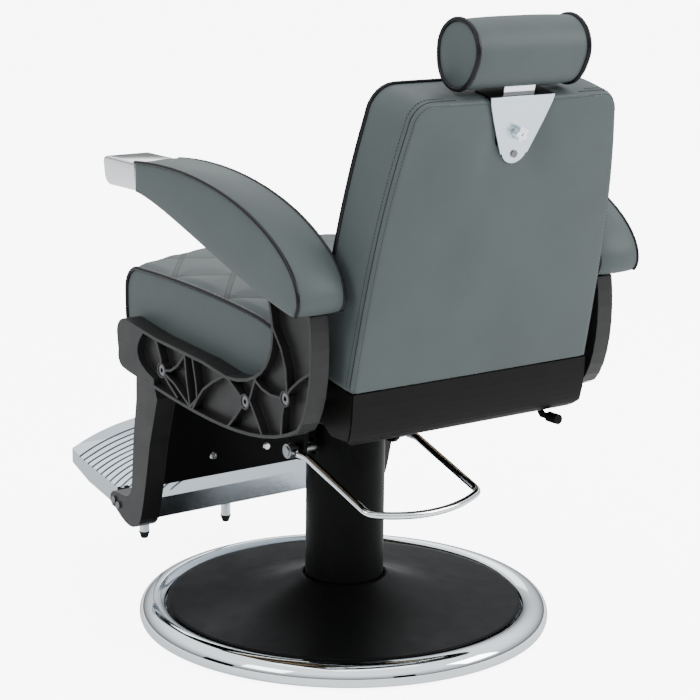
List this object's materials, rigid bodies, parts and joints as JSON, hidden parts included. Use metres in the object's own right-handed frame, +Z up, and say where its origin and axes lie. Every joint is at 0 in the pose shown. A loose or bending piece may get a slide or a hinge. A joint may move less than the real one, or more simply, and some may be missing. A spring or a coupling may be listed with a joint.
{
  "type": "hydraulic barber chair",
  "caption": "Reclining barber chair with padded seat, back and headrest, curved armrests, ribbed side frames, footrest, foot-pumped lift column and round swivel base.",
  "frame": {"origin": "centre of the round base's underside, on the floor", "axes": "+Z up, the sitter faces -Y, +X is the sitter's left"},
  "size_m": [0.6597, 0.9572, 0.9891],
  "materials": {
    "chrome": "polished",
    "satin_chrome": "satin",
    "polished_alloy": "polished",
    "black_steel": "satin",
    "black_cast_alloy": "matte",
    "black_plastic": "satin",
    "black_rubber": "matte",
    "raw_steel": "satin",
    "dark_screw": "satin",
    "bright_screw": "satin",
    "plywood": "matte",
    "grey_leather": "satin",
    "grey_cushion": "satin"
  },
  "bodies": {
    "base": {"floor_pad": "black_rubber", "base_disc": "raw_steel", "base_ring": "chrome", "base_cover": "black_steel", "thrust_bearing": "raw_steel", "base_bolts": "raw_steel"},
    "ram": {"ram": "chrome", "inner_sleeve": "black_steel"},
    "seat": {"column_sleeve": "black_steel", "pump_cylinder": "raw_steel", "oil_reservoir": "raw_steel", "pump_gland": "raw_steel", "pump_head": "raw_steel", "pump_yoke": "raw_steel", "seat_bracket": "black_steel", "seat_rails": "black_steel", "seat_pan": "plywood", "seat_cushion": "grey_cushion", "side_frame_left": "black_cast_alloy", "side_frame_right": "black_cast_alloy", "frame_bolts": "dark_screw", "arm_core_left": "black_steel", "arm_core_right": "black_steel", "arm_pad_left": "grey_leather", "arm_pad_right": "grey_leather", "arm_cap_left": "polished_alloy", "arm_cap_right": "polished_alloy", "recline_shaft": "raw_steel", "shaft_end_screws": "dark_screw", "strut_cylinder": "black_steel", "pedal_lugs": "black_steel", "knee_pins": "raw_steel"},
    "pedal": {"pedal_loop": "chrome", "pedal_axle": "raw_steel"},
    "plunger": {"pump_plunger": "raw_steel"},
    "strut": {"strut_rod": "raw_steel"},
    "legrest": {"leg_left": "black_cast_alloy", "leg_right": "black_cast_alloy", "leg_apron": "black_steel", "apron_screws": "bright_screw", "calf_pad": "grey_leather", "foot_plate": "polished_alloy", "foot_plate_screws": "dark_screw", "stub_feet": "chrome", "stub_tips": "black_rubber"},
    "links": {"link_rods": "black_steel"},
    "back": {"back_hinges": "black_steel", "back_board": "plywood", "back_cushion": "grey_cushion", "back_panel": "grey_leather", "back_shell": "black_plastic", "post_guide": "black_plastic", "top_bezel": "black_plastic", "head_plate": "satin_chrome", "plate_screw": "dark_screw"},
    "knob": {"lock_knob": "chrome"},
    "lever": {"release_lever": "black_steel"},
    "post": {"head_post": "chrome"},
    "headrest": {"head_core": "plywood", "head_pad": "grey_leather"}
  },
  "joints": [
    {"name": "swivel", "type": "hinge", "parent": "base", "child": "ram", "pos_m": [0, 0, 0], "axis": [0, 0, 1], "continuous": true},
    {"name": "lift", "type": "slide", "parent": "ram", "child": "seat", "axis": [0, 0, 1], "range_m": [0, 0.16]},
    {"name": "recline", "type": "hinge", "parent": "seat", "child": "back", "pos_m": [0, 0.236, 0.451], "axis": [-1, 0, 0], "range_deg": [0, 45]},
    {"name": "legrest_swing", "type": "hinge", "parent": "seat", "child": "legrest", "pos_m": [0, -0.205, 0.42], "axis": [-1, 0, 0], "range_deg": [0, 45]},
    {"name": "link_turn", "type": "hinge", "parent": "legrest", "child": "links", "pos_m": [0, -0.18587, 0.37381], "axis": [-1, 0, 0], "range_deg": [-45, 0]},
    {"name": "strut_slide", "type": "slide", "parent": "seat", "child": "strut", "axis": [0, -1, 0], "range_m": [0, 0.0445]},
    {"name": "pump_pedal", "type": "hinge", "parent": "seat", "child": "pedal", "pos_m": [0, 0, 0.292], "axis": [-1, 0, 0], "range_deg": [-5, 22], "stiffness_Nm_per_rad": 12, "springref_deg": -3.44},
    {"name": "pump_stroke", "type": "slide", "parent": "seat", "child": "plunger", "axis": [0, 0, -1], "range_m": [-0.0025, 0.0105]},
    {"name": "lever_lift", "type": "hinge", "parent": "back", "child": "lever", "pos_m": [0, 0.262, 0.389], "axis": [1, 0, 0], "range_deg": [0, 10], "stiffness_Nm_per_rad": 2, "springref_deg": -5.73},
    {"name": "knob_turn", "type": "hinge", "parent": "back", "child": "knob", "pos_m": [0, 0.39055, 0.82885], "axis": [0, 0.9781, -0.2079], "range_deg": [-90, 0]},
    {"name": "headrest_height", "type": "slide", "parent": "back", "child": "post", "axis": [0, 0.2079, 0.9781], "range_m": [0, 0.12]},
    {"name": "headrest_tilt", "type": "hinge", "parent": "post", "child": "headrest", "pos_m": [0, 0.38191, 0.94212], "axis": [1, 0, 0], "range_deg": [-20, 20]}
  ],
  "couplings": [
    {"joint": "legrest_swing", "follows": "recline", "ratio": 1},
    {"joint": "link_turn", "follows": "recline", "ratio": -1},
    {"joint": "strut_slide", "follows": "recline", "m_per_rad": 0.05652},
    {"joint": "pump_stroke", "follows": "pump_pedal", "m_per_rad": 0.0262}
  ]
}
